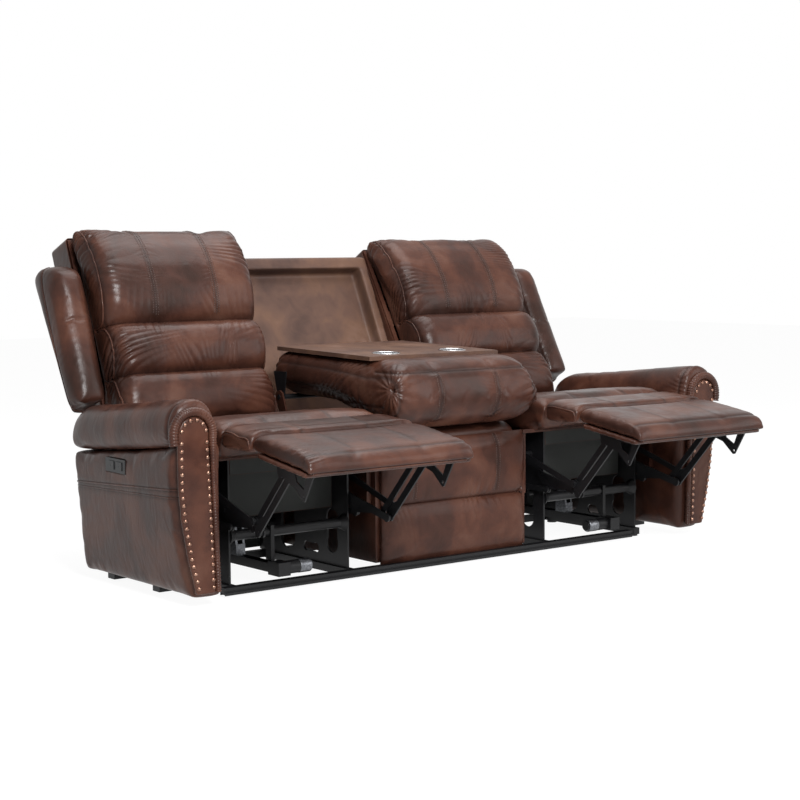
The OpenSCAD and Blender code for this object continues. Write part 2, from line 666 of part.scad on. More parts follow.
module centre_seat_frame() color(board_leather) set_in() {
    translate([-centre_half, 118, arm_bottom + 2]) cube([2 * centre_half, 16, centre_deck - arm_bottom - 2]);
    translate([-centre_half, 134, centre_deck - deck_t]) cube([2 * centre_half, frame_rear - 134, deck_t]);
    translate([-centre_half, frame_rear - 16, 150]) cube([2 * centre_half, 16, centre_deck - 151]);
    both_ways() {
        translate([centre_half - 16, 134, arm_bottom + 2]) cube([16, frame_rear - 134, centre_deck - arm_bottom - 3]);
        plate(hinge_x, hinge_t) difference() {
            union() {
                polygon([[548, centre_deck - 1], [frame_rear, centre_deck - 1], [frame_rear, 400],
                    [hinge_at[0] + 19, hinge_at[1] - 8], [hinge_at[0] - 20, hinge_at[1] + 6]]);
                eye(hinge_at, 21);
            }
            eye(hinge_at, pivot_r + pin_gap);
        }
    }
}

centre_top = 430;
centre_upper = [[118.5, 402], [127, 418], [160, 428], [260, centre_top], [400, centre_top], [520, 427], [560, 418], [572, 400]];
centre_lower = [[118.5, 375], [124, 352], [160, centre_deck + soft_gap], [260, centre_deck + soft_gap],
    [400, centre_deck + soft_gap], [520, centre_deck + soft_gap], [562, centre_deck + soft_gap], [572, 362]];

module centre_seat_cushion() color(leather) set_in()
    sewn(centre_upper, centre_lower, crowned(centre_half - 13, 0.6, 1, 165));

// Two bulging tiers with a crease between them
front_upper = [[113, 29], [102, 46], [96, 96], [98, 158], [109, 208], [99, 250], [94, 308], [97, 364], [106, 398], [115, 414]];
front_lower = [for (p = front_upper) [118 - soft_gap, p[1]]];

module centre_front() color(leather) set_in()
    sewn(front_upper, front_lower, crowned(centre_half - 1, 0.6, 1, 165));

// Fixed back with the recess for the tray, drawn in its own leaning frame from the upper front corner
module on_centre() translate([0, top_front[0], top_front[1]]) rotate([-centre_lean, 0, 0]) children();
frame_len = 412;
frame_half = centre_half - 9;
recess_half = tray_half + 8.5;
corner = top_front - frame_len * centre_up;
far_corner = corner + back_t * centre_rear;
far_top = top_front + back_t * centre_rear;

module centre_back() color(leather) set_in() {
    on_centre() difference() {
        translate([-frame_half, 0, -frame_len]) cube([2 * frame_half, back_t, frame_len]);
        translate([-recess_half, -1, -frame_len - 1]) cube([2 * recess_half, recess_d + 1, frame_len - 44]);
    }
    both_ways() plate(centre_half - 11, 11) polygon([[panel_y + panel_t + soft_gap, 60],
        [panel_y + panel_t + soft_gap, 330], [664, 430], [676, 534], corner + [0, 1], top_front - 4 * centre_up,
        far_top - 4 * centre_up, far_corner, [770, 300], [750, 60]]);
    plate(-centre_half + 11, 2 * centre_half - 22) polygon([far_corner, far_corner + [-10, 0], [760, 300], [740, 60], [750, 60], [770, 300]]);
}

console_half = hinge_x - 6;
console_upper = [[30, 512], [26, 546], [38, 588], [68, 619], [110, 635], [158, 638], [193, 635.2],
    [300, 0], [420, 0], [540, 0], [640, 0], [684, 0], [691, 632]];
console_lower = [[33, 496], [44, 472], [65, 450], [100, 435], [150, centre_top + 0.6], [200, 436], [250, 452],
    [320, 480], [420, 504], [540, 511], [622, hinge_at[1] + pivot_r + soft_gap], [680, 524], [691, 540]];
console_stations = [for (s = [[console_half, 0.26], [console_half - 5, 0.44], [console_half - 15, 0.58],
    [tray_half + 1, 0.78], [tray_half - 18, 0.94], [210, 1], [135, 1], [113, 0.965], [91, 1]]) s];

function tray_seated(p) = p[1] > 0 ? p : [p[0], tray_under(p[0])];

module on_tray() translate([0, tray_front[0], tray_front[1]]) rotate([tray_tilt, 0, 0]) children();
cup_y = 80;
liner_t = 2;
pocket_gap = 1.2;

module console_cushion() color(leather) set_in() difference() {
    sewn([for (p = console_upper) tray_seated(p)], console_lower,
        concat([for (s = console_stations) [-s[0], s[1], s[1], 0]], [[0, 1, 1, 0]],
            [for (i = [len(console_stations) - 1:-1:0]) [console_stations[i][0], console_stations[i][1], console_stations[i][1], 0]]));
    on_tray() for (x = [-cup_x, cup_x]) translate([x, cup_y, tray_t - cup_depth - liner_t - pocket_gap])
        cylinder(h = cup_depth + 20, r = cup_r + liner_t + pocket_gap, $fn = 48);
}

module console_tray() color(leather_light) set_in() on_tray() difference() {
    translate([-tray_half, 0, 0]) cube([2 * tray_half, tray_len, tray_t]);
    for (x = [-cup_x, cup_x]) translate([x, cup_y, -1])
        cylinder(h = tray_t + 2, r = cup_r + liner_t + pin_gap, $fn = 48);
}

module cup_liners() color(plated) set_in() on_tray() for (x = [-cup_x, cup_x]) translate([x, cup_y, tray_t])
    rotate_extrude($fn = 64) polygon([[0, -cup_depth - liner_t], [cup_r + liner_t, -cup_depth - liner_t],
        [cup_r + liner_t, touch], [cup_r + 7, touch], [cup_r + 7, 1.6], [cup_r + 5, 2.6], [cup_r + 1, 2.6],
        [cup_r, 1.6], [cup_r, -cup_depth], [0, -cup_depth]]);

module console_hinge() color(black_steel) set_in() {
    rod(hinge_at, -hinge_x - hinge_t - 2, 2 * (hinge_x + hinge_t + 2), pivot_r);
    both_ways() plate(console_half + soft_gap, 3.5) {
        eye(hinge_at, 17);
        polygon([hinge_at + [-17, 2], hinge_at + [17, -2], [672, 585], [600, 585]]);
    }
}

base_frame();
feet();
rear_panel();
nailheads();
arm_frame(-1);  // left_arm_frame
arm_roll(-1);  // left_arm_roll
arm_facing(-1);  // left_arm_facing
control_plate(-1);  // left_control_plate
control_key(-1, key_ys[0]);  // left_recline_key
control_key(-1, key_ys[1]);  // left_return_key
arm_frame(1);  // right_arm_frame
arm_roll(1);  // right_arm_roll
arm_facing(1);  // right_arm_facing
control_plate(1);  // right_control_plate
control_key(1, key_ys[0]);  // right_recline_key
control_key(1, key_ys[1]);  // right_return_key
seat_frame(-1);  // left_seat_frame
seat_cushion(-1);  // left_seat_cushion
chaise_bridge(-1);  // left_chaise_bridge
mechanism_frame(-1);  // left_mechanism_frame
rear_links(-1);  // left_rear_links
front_links(-1);  // left_front_links
guide_links(-1);  // left_guide_links
control_links(-1);  // left_control_links
footrest_board(-1);  // left_footrest_board
footrest_brackets(-1);  // left_footrest_brackets
footrest_pad(-1);  // left_footrest_pad
drive_crank(-1);  // left_drive_crank
drive_links(-1);  // left_drive_links
actuator(-1);  // left_actuator
drive_nut(-1);  // left_drive_nut
back_shell(-1);  // left_back_shell
back_cushion(-1);  // left_back_cushion
wing(-1);  // left_wing
seat_frame(1);  // right_seat_frame
seat_cushion(1);  // right_seat_cushion
chaise_bridge(1);  // right_chaise_bridge
mechanism_frame(1);  // right_mechanism_frame
rear_links(1);  // right_rear_links
front_links(1);  // right_front_links
guide_links(1);  // right_guide_links
control_links(1);  // right_control_links
footrest_board(1);  // right_footrest_board
footrest_brackets(1);  // right_footrest_brackets
footrest_pad(1);  // right_footrest_pad
drive_crank(1);  // right_drive_crank
drive_links(1);  // right_drive_links
actuator(1);  // right_actuator
drive_nut(1);  // right_drive_nut
back_shell(1);  // right_back_shell
back_cushion(1);  // right_back_cushion
wing(1);  // right_wing
centre_seat_frame();
centre_seat_cushion();
centre_front();
centre_back();
console_cushion();
console_tray();
console_hinge();
cup_liners();
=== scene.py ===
import json
import math
import bmesh
import bpy
import numpy as np
from mathutils import Matrix, Vector

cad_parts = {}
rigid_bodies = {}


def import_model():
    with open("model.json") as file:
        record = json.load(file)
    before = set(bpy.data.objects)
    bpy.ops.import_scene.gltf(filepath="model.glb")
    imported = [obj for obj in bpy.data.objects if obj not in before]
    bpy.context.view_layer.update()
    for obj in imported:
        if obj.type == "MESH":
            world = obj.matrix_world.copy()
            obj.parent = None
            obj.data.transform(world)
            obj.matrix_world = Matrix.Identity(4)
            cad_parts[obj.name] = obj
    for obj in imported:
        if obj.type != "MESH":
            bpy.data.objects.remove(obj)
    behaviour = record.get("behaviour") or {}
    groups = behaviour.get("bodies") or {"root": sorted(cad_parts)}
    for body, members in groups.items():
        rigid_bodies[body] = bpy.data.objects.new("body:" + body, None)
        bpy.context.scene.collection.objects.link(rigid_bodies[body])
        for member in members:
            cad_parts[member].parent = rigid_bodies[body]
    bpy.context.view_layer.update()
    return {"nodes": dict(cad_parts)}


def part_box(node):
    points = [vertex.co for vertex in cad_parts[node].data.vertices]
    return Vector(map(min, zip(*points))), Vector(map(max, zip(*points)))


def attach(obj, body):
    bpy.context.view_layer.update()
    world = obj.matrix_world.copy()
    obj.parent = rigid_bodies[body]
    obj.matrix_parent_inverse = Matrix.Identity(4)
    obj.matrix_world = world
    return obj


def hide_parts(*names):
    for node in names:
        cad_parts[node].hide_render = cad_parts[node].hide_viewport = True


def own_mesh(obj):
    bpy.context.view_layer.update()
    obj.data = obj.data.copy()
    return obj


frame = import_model()
nodes = frame["nodes"]
print("frame loaded:", len(nodes), "nodes")

# Places that several pieces share, in the drawing's millimetres and degrees
layout = {
    "railBehindArms": 90,                      # the base rail, behind the arm fronts
    "seatX": 602,                              # middle of each end seat
    "backPivot": (650, 430),                   # y and z of each back's lower edge
    "backLean": {"left": -22, "right": -30},   # as they stand at rest
    "padPlace": (-97.88, 420.1), "padTilt": 8.5,
}
sides = ((-1, "left"), (1, "right"))
quarterTurn = math.radians(90)
weldGap = 0.00002

# The drawing's Y starts at the arm fronts, and the base rail tells where that is in the frame
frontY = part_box("base_frame")[0].y - layout["railBehindArms"] / 1000


def atMm(x, y, z):
    return Vector((x / 1000, y / 1000 + frontY, z / 1000))


def placeAt(side, y, z, lean=0):
    return Matrix.Translation(atMm(side * layout["seatX"], y, z)) @ Matrix.Rotation(math.radians(lean), 4, "X")


def backPlace(side, word):
    return placeAt(side, *layout["backPivot"], layout["backLean"][word])


def collectionOf(name):
    made = bpy.data.collections.new(name)
    bpy.context.scene.collection.children.link(made)
    return made


upholstery = collectionOf("upholstery")
trimming = collectionOf("trimming")
studio = collectionOf("studio")


def hexColour(code):
    parts = [int(code[i:i + 2], 16) / 255 for i in (1, 3, 5)]
    return tuple(p / 12.92 if p <= 0.04045 else ((p + 0.055) / 1.055) ** 2.4 for p in parts) + (1,)


def addNode(tree, kind, links=(), values=(), stops=(), **settings):
    # "values" sets sockets by number, "stops" the places and colours of a ramp
    node = tree.nodes.new(kind)
    for name, value in settings.items():
        if hasattr(node, name):
            setattr(node, name, value)
        else:
            node.inputs[name.replace("_", " ")].default_value = value
    for socket, value in dict(values).items():
        node.inputs[socket].default_value = value
    for source, target in links:
        tree.links.new(source, node.inputs[target])
    for number, (place, code) in enumerate(stops):
        elements = node.color_ramp.elements
        if number == len(elements):
            elements.new(place)
        elements[number].position = place
        elements[number].color = hexColour(code)
    return node


def startMaterial(name, **settings):
    material = bpy.data.materials.new(name)
    material.use_nodes = True
    tree = material.node_tree
    shader = tree.nodes["Principled BSDF"]
    for socket, value in settings.items():
        shader.inputs[socket.replace("_", " ")].default_value = value
    return material, tree, shader


# Bonded leather with a pulled-up brown finish: broad clouds of redder and greyer brown where the hide is
# stretched, a satin gloss that breaks up in the creases, and a fine pebble that only shows close by. Beside the
# seams the colour is darkened as painted shade.
leatherLook = {
    "cloudMm": 210, "blotchMm": 70, "creaseMm": 48, "grainMm": 3.2,
    "blotchShare": 0.45, "stretch": (1.0, 1.4, 0.7), "creaseDeep": 0.0022, "grainDeep": 0.00022, "bump": 0.5,
    # The last two values here are painted shade: how strongly the leather darkens at the seams, and the dark colour
    # it goes to
    "specular": 0.18, "shineFrom": 0.35, "shineTo": 0.68, "uneven": 0.12, "grooveShade": 0.75, "grooveShadeColour": "#1a110f",
}
# The sockets of a Mix node that hold colours go by number
mixSockets = {"factor": 0, "first": 6, "second": 7, "result": 2}


def distressedLeather(name, deep, body, warm, worn, gloss=0.28):
    look = leatherLook
    material, tree, shader = startMaterial(name, Specular_IOR_Level=look["specular"])
    where = addNode(tree, "ShaderNodeTexCoord").outputs["Object"]
    clouds = addNode(tree, "ShaderNodeTexNoise", [(where, "Vector")], Scale=1000 / look["cloudMm"],
                     Detail=3.0, Roughness=0.5, Distortion=0.6)
    blotches = addNode(tree, "ShaderNodeTexNoise", [(where, "Vector")], Scale=1000 / look["blotchMm"],
                       Detail=4.0, Roughness=0.55, Distortion=0.8)
    mixed = addNode(tree, "ShaderNodeMath", [(blotches.outputs["Fac"], 0), (clouds.outputs["Fac"], 2)],
                    values={1: look["blotchShare"]}, operation="MULTIPLY_ADD")
    colour = addNode(tree, "ShaderNodeValToRGB", [(mixed.outputs[0], "Fac")],
                     stops=[(0.50, deep), (0.69, body), (0.83, warm), (1.0, worn)])
    # Painted shade: the colour is darkened towards a near black brown beside the stitched grooves
    seam = addNode(tree, "ShaderNodeAttribute", attribute_name="seam")
    shaded = addNode(tree, "ShaderNodeMath", [(seam.outputs["Fac"], 0)], values={1: look["grooveShade"]},
                     operation="MULTIPLY")
    grooveShaded = addNode(tree, "ShaderNodeMix",
                      [(shaded.outputs[0], mixSockets["factor"]), (colour.outputs["Color"], mixSockets["first"])],
                      values={mixSockets["second"]: hexColour(look["grooveShadeColour"])}, data_type="RGBA")
    stretched = addNode(tree, "ShaderNodeMapping", [(where, "Vector")], Scale=look["stretch"])
    creases = addNode(tree, "ShaderNodeTexNoise", [(stretched.outputs[0], "Vector")],
                      Scale=1000 / look["creaseMm"], Detail=2.5, Roughness=0.5, Distortion=0.9)
    grain = addNode(tree, "ShaderNodeTexVoronoi", [(where, "Vector")], Scale=1000 / look["grainMm"])
    grainBump = addNode(tree, "ShaderNodeBump", [(grain.outputs["Distance"], "Height")],
                        Strength=look["bump"], Distance=look["grainDeep"])
    creaseBump = addNode(tree, "ShaderNodeBump",
                         [(creases.outputs["Fac"], "Height"), (grainBump.outputs[0], "Normal")],
                         Strength=look["bump"], Distance=look["creaseDeep"])
    shine = addNode(tree, "ShaderNodeMapRange", [(blotches.outputs["Fac"], "Value")],
                    From_Min=look["shineFrom"], From_Max=look["shineTo"],
                    To_Min=gloss, To_Max=gloss + look["uneven"])
    tree.links.new(grooveShaded.outputs[mixSockets["result"]], shader.inputs["Base Color"])
    tree.links.new(shine.outputs["Result"], shader.inputs["Roughness"])
    tree.links.new(creaseBump.outputs["Normal"], shader.inputs["Normal"])
    return material


# The covers are satin; the tray and the centre panel have a paler, drier face
brownLeather = distressedLeather("bonded_leather_brown", "#291812", "#372019", "#45291f", "#51352a")
panelLeather = distressedLeather("bonded_leather_panel", "#41302a", "#513c33", "#5b4336", "#6b5348", gloss=0.38)


# Plain finishes with a slight mottle: "speckMm" is its size, "deep" its relief and "metallic" 1 on bare metal
finishLook = {"detail": 3.0, "darkTo": 0.35, "lightFrom": 0.68, "glossier": 0.08, "duller": 0.1, "bump": 0.4}


def speckledFinish(name, dark, light, metallic, rough, speckMm, deep):
    look = finishLook
    material, tree, shader = startMaterial(name, Metallic=metallic)
    where = addNode(tree, "ShaderNodeTexCoord").outputs["Object"]
    specks = addNode(tree, "ShaderNodeTexNoise", [(where, "Vector")], Scale=1000 / speckMm, Detail=look["detail"])
    colour = addNode(tree, "ShaderNodeValToRGB", [(specks.outputs["Fac"], "Fac")],
                     stops=[(look["darkTo"], dark), (look["lightFrom"], light)])
    gloss = addNode(tree, "ShaderNodeMapRange", [(specks.outputs["Fac"], "Value")],
                    To_Min=rough - look["glossier"], To_Max=rough + look["duller"])
    relief = addNode(tree, "ShaderNodeBump", [(specks.outputs["Fac"], "Height")],
                     Strength=look["bump"], Distance=deep)
    tree.links.new(colour.outputs["Color"], shader.inputs["Base Color"])
    tree.links.new(gloss.outputs["Result"], shader.inputs["Roughness"])
    tree.links.new(relief.outputs["Normal"], shader.inputs["Normal"])
    return material


# Baked powder coat: near black, with a faint orange peel and little shine
blackSteel = speckledFinish("powder_coated_steel_black", "#08080a", "#131315", 0.0, 0.46, 3, 0.0002)
blackSteel.node_tree.nodes["Principled BSDF"].inputs["Specular IOR Level"].default_value = 0.3
# Zinc plate: mid grey with a soft spangle
zincSteel = speckledFinish("zinc_plated_steel", "#5f6165", "#84868a", 1.0, 0.36, 5, 0.0001)
# Spun stainless steel: bright and nearly even
stainless = speckledFinish("spun_stainless_steel", "#c4c6c9", "#e2e3e5", 1.0, 0.2, 5, 0.00005)
# Aged copper plate: brown, with paler patches where it is rubbed
agedCopper = speckledFinish("antique_copper_plate", "#6e5043", "#ab8775", 1.0, 0.3, 6, 0.0001)
# Bonded lining cloth: charcoal and flat, its fibres drawn at 2 mm so that they show. The same charcoal also makes a
# sheet of painted shade at the back of each seat.
liningAndShadeCloth = speckledFinish("bonded_lining_charcoal", "#161816", "#212321", 0.0, 0.78, 2, 0.0003)
# Moulded ABS: near black, with a fine matt face
blackAbs = speckledFinish("moulded_abs_black", "#0a0a0b", "#121214", 0.0, 0.5, 2, 0.0001)
# Waxed thread: about as brown as the leather, and flatter
thread = speckledFinish("waxed_thread_brown", "#2b1c17", "#4a342b", 0.0, 0.55, 1, 0.0001)

# What each CAD node is made of, by the first word here that its name holds; the rest is leather
finishes = (
    ("base_frame", blackSteel), ("feet", blackAbs), ("links", blackSteel), ("brackets", blackSteel),
    ("mechanism", blackSteel), ("crank", blackSteel), ("actuator", blackSteel), ("hinge", blackSteel),
    ("nut", zincSteel), ("liners", stainless), ("nailheads", agedCopper), ("plate", blackAbs), ("key", blackAbs),
    ("tray", panelLeather), ("centre_back", panelLeather),
)
for name, node in nodes.items():
    node.data.materials.clear()
    node.data.materials.append(next((finish for word, finish in finishes if word in name), brownLeather))
print("materials ready")


def newPiece(name, bm, collection, material):
    mesh = bpy.data.meshes.new(name)
    bm.to_mesh(mesh)
    bm.free()
    piece = bpy.data.objects.new(name, mesh)
    collection.objects.link(piece)
    mesh.materials.append(material)
    mesh.shade_smooth()
    return piece


def settle(piece):
    graph = bpy.context.evaluated_depsgraph_get()
    mesh = bpy.data.meshes.new_from_object(piece.evaluated_get(graph))
    piece.modifiers.clear()
    piece.data = mesh
    mesh.shade_smooth()


def coverOver(name, material, voxel, rounds, shrink=0.0):
    # The CAD solid's form in an even mesh, its edges rounded off as wadding and leather round them
    bm = bmesh.new()
    bm.from_mesh(nodes[name].data)
    bmesh.ops.remove_doubles(bm, verts=bm.verts[:], dist=weldGap)
    bmesh.ops.recalc_face_normals(bm, faces=bm.faces[:])
    piece = newPiece(name + "_cover", bm, upholstery, material)
    remesh = piece.modifiers.new("remesh", "REMESH")
    remesh.mode = "VOXEL"
    remesh.voxel_size = voxel
    settle(piece)
    bm = bmesh.new()
    bm.from_mesh(piece.data)
    for _ in range(rounds):
        bmesh.ops.smooth_vert(bm, verts=bm.verts[:], factor=0.5, use_axis_x=True, use_axis_y=True, use_axis_z=True)
    bm.normal_update()
    for vert in bm.verts:
        vert.co -= vert.normal * shrink
    bm.to_mesh(piece.data)
    bm.free()
    piece.data.materials.clear()
    piece.data.materials.append(material)
    piece.data.shade_smooth()
    return piece


# How each padded piece is made, in metres: "rounds" of smoothing, "shrink" for the cover's room, then cloth
# under "pressure" that may move by no more than "cap"
softLook = {
    "voxel": 0.008, "quickVoxel": 0.010, "shrink": 0.0025, "rounds": 10, "pressure": 4.0, "slack": -0.03,
    "quality": 4, "cap": 0.012, "frames": 20,
}


def bothSides(seam):
    return [seam, {**seam, "at": -seam["at"]}]


# Seams in each piece's own millimetres. "at" is the seam's place along "axis", and "slope" tilts it. "deep" and
# "wide" shape the groove, filled where "deep" is below 0, and "sag" lets the cover above it hang over. "pleat",
# "reach" and "pitch" are the small folds that run away from it, on one side only where "facing" says so, and
# "zone" is where it is sewn. "rows" are lines of stitches beside it and "welt" is the radius of its piping.
backSeams = [
    {"axis": "z", "at": 322, "deep": 15, "wide": 8, "sag": 13, "pleat": 3.4, "reach": 46, "pitch": 24,
     "zone": {"y": (-400, 0)}},
    {"axis": "z", "at": 156, "deep": 13, "wide": 8, "sag": 12, "pleat": 1.6, "reach": 40, "pitch": 26,
     "zone": {"y": (-400, 0)}},
    {"axis": "z", "at": 158, "deep": 3, "wide": 8, "pleat": 7.5, "reach": 62, "pitch": 17, "facing": 1,
     "zone": {"y": (-400, 0), "x": (-150, 120)}},
    {"axis": "z", "at": 324, "deep": 2, "wide": 8, "pleat": 4.6, "reach": 60, "pitch": 19, "facing": 1,
     "zone": {"y": (-400, 0), "x": (-110, 110)}},
    *bothSides({"axis": "x", "at": 110, "deep": -2.5, "wide": 15, "pleat": 3.4, "reach": 18, "pitch": 14,
                "zone": {"y": (-400, 12), "z": (330, 700)}, "rows": (-9, 0, 9)}),
    {"axis": "x", "at": 271, "deep": 2, "wide": 5, "pleat": 10.0, "reach": 58, "pitch": 21,
     "zone": {"y": (-400, -6)}, "welt": 2.8},
    {"axis": "x", "at": -271, "deep": 2, "wide": 5, "pleat": 8.0, "reach": 50, "pitch": 23,
     "zone": {"y": (-400, -6)}, "welt": 2.8},
]
wingSeams = [
    {"axis": "y", "at": 22, "deep": 2.5, "wide": 6, "pleat": 5.0, "reach": 34, "pitch": 23, "facing": -1,
     "zone": {"x": (360, 420)}, "welt": 2.4},
    {"axis": "x", "at": 306, "deep": 2.5, "wide": 6, "pleat": 2.0, "reach": 22, "pitch": 27},
]
seatSeams = [
    *bothSides({"axis": "x", "at": 113, "deep": -2.4, "wide": 15, "pleat": 1.6, "reach": 30, "pitch": 30,
                "zone": {"z": (440, 600)}}),
    *bothSides({"axis": "x", "at": 284, "deep": 2, "wide": 6, "pleat": 4.2, "reach": 40, "pitch": 30,
                "zone": {"z": (440, 600)}, "welt": 2.2}),
]
padSeams = [
    *bothSides({"axis": "x", "at": 113, "deep": -1.8, "wide": 15, "pleat": 1.2, "reach": 30, "pitch": 28,
                "zone": {"z": (30, 200), "y": (-225, 20)}}),
    {"axis": "y", "at": -236, "deep": 3.0, "wide": 8, "pleat": 0.6, "reach": 20, "pitch": 30,
     "zone": {"z": (30, 200)}},
    {"axis": "z", "at": 12, "deep": 3.0, "wide": 4, "pleat": 0.5, "reach": 10, "pitch": 26,
     "zone": {"y": (-400, -20)}, "welt": 3.0},
    *bothSides({"axis": "x", "at": 281, "deep": 2, "wide": 5, "pleat": 4.0, "reach": 34, "pitch": 27,
                "zone": {"z": (20, 200)}, "welt": 2.2}),
]
frontSeams = [
    {"axis": "z", "at": 208, "deep": 10, "wide": 8, "sag": 10, "pleat": 3.0, "reach": 40, "pitch": 24},
    *bothSides({"axis": "x", "at": 165, "deep": 2, "wide": 10, "pleat": 2.2, "reach": 20, "pitch": 18,
                "zone": {"z": (214, 420)}, "rows": (-7, 7)}),
    *bothSides({"axis": "x", "at": 290, "deep": 2, "wide": 6, "pleat": 3.2, "reach": 26, "pitch": 28}),
]
consoleSeams = [
    *bothSides({"axis": "x", "at": 113, "deep": -6.5, "wide": 19, "pleat": 2.6, "reach": 24, "pitch": 14,
                "zone": {"y": (0, 150), "z": (450, 604)}, "rows": (-9, 9)}),
    {"axis": "z", "at": 604, "deep": 3.5, "wide": 4, "pleat": 1.8, "reach": 26, "pitch": 30,
     "zone": {"y": (0, 180)}},
    {"axis": "z", "at": 500, "deep": 2.5, "wide": 5, "pleat": 4.0, "reach": 40, "pitch": 24,
     "zone": {"y": (90, 420)}},
    *bothSides({"axis": "x", "at": 268, "deep": 3, "wide": 6, "pleat": 5.0, "reach": 36, "pitch": 24}),
]
armSeams = [
    {"axis": "z", "at": 331, "slope": -0.060, "deep": 2.5, "wide": 5, "pleat": 0.8, "reach": 20, "pitch": 60,
     "zone": {"x": (340, 600)}, "welt": 2.8},
    {"axis": "z", "at": 309, "slope": -0.044, "deep": 2.0, "wide": 5, "pleat": 0.8, "reach": 20, "pitch": 60,
     "zone": {"x": (340, 600)}, "welt": 1.6},
]
rollSeams = [
    {"axis": "y", "at": 36, "deep": 5, "wide": 5, "pleat": 3.0, "reach": 18, "pitch": 14},
]
# Gathers drawn together in one point, at the console's front corners; "waver" and "waves" space them unevenly
consoleKnots = [{"at": (x, 62, 556), "deep": 14, "wide": 11, "pleat": 6.0, "reach": 42, "folds": 15,
                 "waver": 0.6, "waves": 3} for x in (280, -280)]

# Besides its seams and knots, a piece can be "domed", which wraps a back's front panel round to its sides. A "lift"
# raises it by rows of (y, rise), from a height on and over so many millimetres. One of its "dents" makes room,
# and a "pull" moves an edge up or down.
centrePlace = Matrix.Translation(atMm(0, 0, 0))
soft = {}
for side, word in sides:
    onBack = backPlace(side, word)
    onSeat = placeAt(side, 0, 0)
    onPad = placeAt(side, *layout["padPlace"], layout["padTilt"])
    soft[word + "_back_cushion"] = {
        "body": word + "_back", "place": onBack, "fill": 0.7, "seams": backSeams,
        "domed": {"half": 290, "band": 75, "rear": -2, "keep": 0.5, "soften": 10},
        "pull": [{"from": 585, "to": 640, "by": 10, "within": 120}],
    }
    soft[word + "_wing"] = {
        "body": word + "_back", "place": onBack, "fill": 0.5, "cap": 0.008, "seams": wingSeams,
        "rounds": 34, "shrink": -0.004,
    }
    soft[word + "_seat_cushion"] = {
        "body": "sofa_base", "place": onSeat, "fill": 0.7, "seams": seatSeams, "shrink": 0.001,
        "lift": [([(36, 27), (44, 23), (50, 12), (62, 4), (80, 0)], 440, 24)],
    }
    soft[word + "_chaise_bridge"] = {
        "body": "sofa_base", "place": onSeat, "fill": 0.4, "cap": 0.004, "seams": seatSeams,
        "rounds": 4, "shrink": 0.0004,
        "lift": [([(16, 0), (30, 4), (36, 9), (44, 19)], 440, 24),
                 ([(-112, 10), (-92, 9), (-76, 4), (-60, 0)], 440, 24)],
    }
    soft[word + "_footrest_pad"] = {
        "body": word + "_footrest", "place": onPad, "fill": 0.5, "cap": 0.006, "seams": padSeams,
        "rounds": 5, "shrink": 0.0006,
        "lift": [([(-36, 0), (-20, 3), (-8, 9), (4, 22)], 20, 20)],
    }
    soft[word + "_arm_roll"] = {
        "body": "sofa_base", "place": onSeat, "fill": 0.6, "cap": 0.006, "seams": rollSeams, "rounds": 26,
    }
    soft[word + "_arm_frame"] = {
        "body": "sofa_base", "place": onSeat, "fill": 0.3, "cap": 0.004, "seams": armSeams,
        "rounds": 22, "shrink": 0.0014,
        "dents": [{"zone": {"x": (400, 500), "y": (305, 429), "z": (345, 385)}, "by": 15}],
        "pull": [{"from": 70, "to": 36, "by": -9, "within": 600}, {"from": 415, "to": 440, "by": 9, "within": 600}],
    }
soft["centre_seat_cushion"] = {
    "body": "sofa_base", "place": centrePlace, "fill": 0.6, "cap": 0.01, "seams": [], "voxel": 0.012,
}
soft["centre_front"] = {
    "body": "sofa_base", "place": centrePlace, "fill": 0.6, "cap": 0.008, "seams": frontSeams, "rounds": 6,
    "pull": [{"from": 80, "to": 42, "by": -22, "within": 400}],
}
soft["console_cushion"] = {
    "body": "console", "place": centrePlace, "fill": 0.6, "cap": 0.005, "seams": consoleSeams,
    "knots": consoleKnots,
}


def startSoft(name, settings):
    voxel = settings.get("voxel", softLook["voxel"])
    shrink = settings.get("shrink", softLook["shrink"] * settings["fill"])
    return coverOver(name, brownLeather, voxel, settings.get("rounds", softLook["rounds"]), shrink)


def inflate(pieces):
    before = {}
    for name, piece in pieces.items():
        before[name] = [vert.co.copy() for vert in piece.data.vertices]
        cloth = piece.modifiers.new("cloth", "CLOTH")
        cloth.settings.quality = softLook["quality"]
        cloth.settings.use_pressure = True
        cloth.settings.uniform_pressure_force = softLook["pressure"]
        cloth.settings.shrink_min = softLook["slack"]
        cloth.settings.effector_weights.gravity = 0
        cloth.point_cache.frame_start = 1
        cloth.point_cache.frame_end = softLook["frames"]
    for number in range(1, softLook["frames"] + 1):
        bpy.context.scene.frame_set(number)
    for name, piece in pieces.items():
        settle(piece)
        cap = soft[name].get("cap", softLook["cap"])
        for vert, start in zip(piece.data.vertices, before[name]):
            move = vert.co - start
            if move.length > cap:
                vert.co = start + move * (cap / move.length)
    bpy.context.scene.frame_set(1)


softPieces = {name: startSoft(name, settings) for name, settings in soft.items()}
print("soft pieces started")
inflate(softPieces)
print("cloth settled")

axisNumber = {"x": 0, "y": 1, "z": 2}


def mirrorOf(piece):
    return -1 if "left_" in piece.name else 1


def readMesh(piece):
    count = len(piece.data.vertices)
    places, normals = np.empty(count * 3), np.empty(count * 3)
    piece.data.vertices.foreach_get("co", places)
    piece.data.vertices.foreach_get("normal", normals)
    return places.reshape(-1, 3), normals.reshape(-1, 3)


def pieceMm(places, place, mirror):
    inward = np.array(place.inverted())
    local = (places @ inward[:3, :3].T + inward[:3, 3]) * 1000
    local[:, 0] *= mirror
    return local


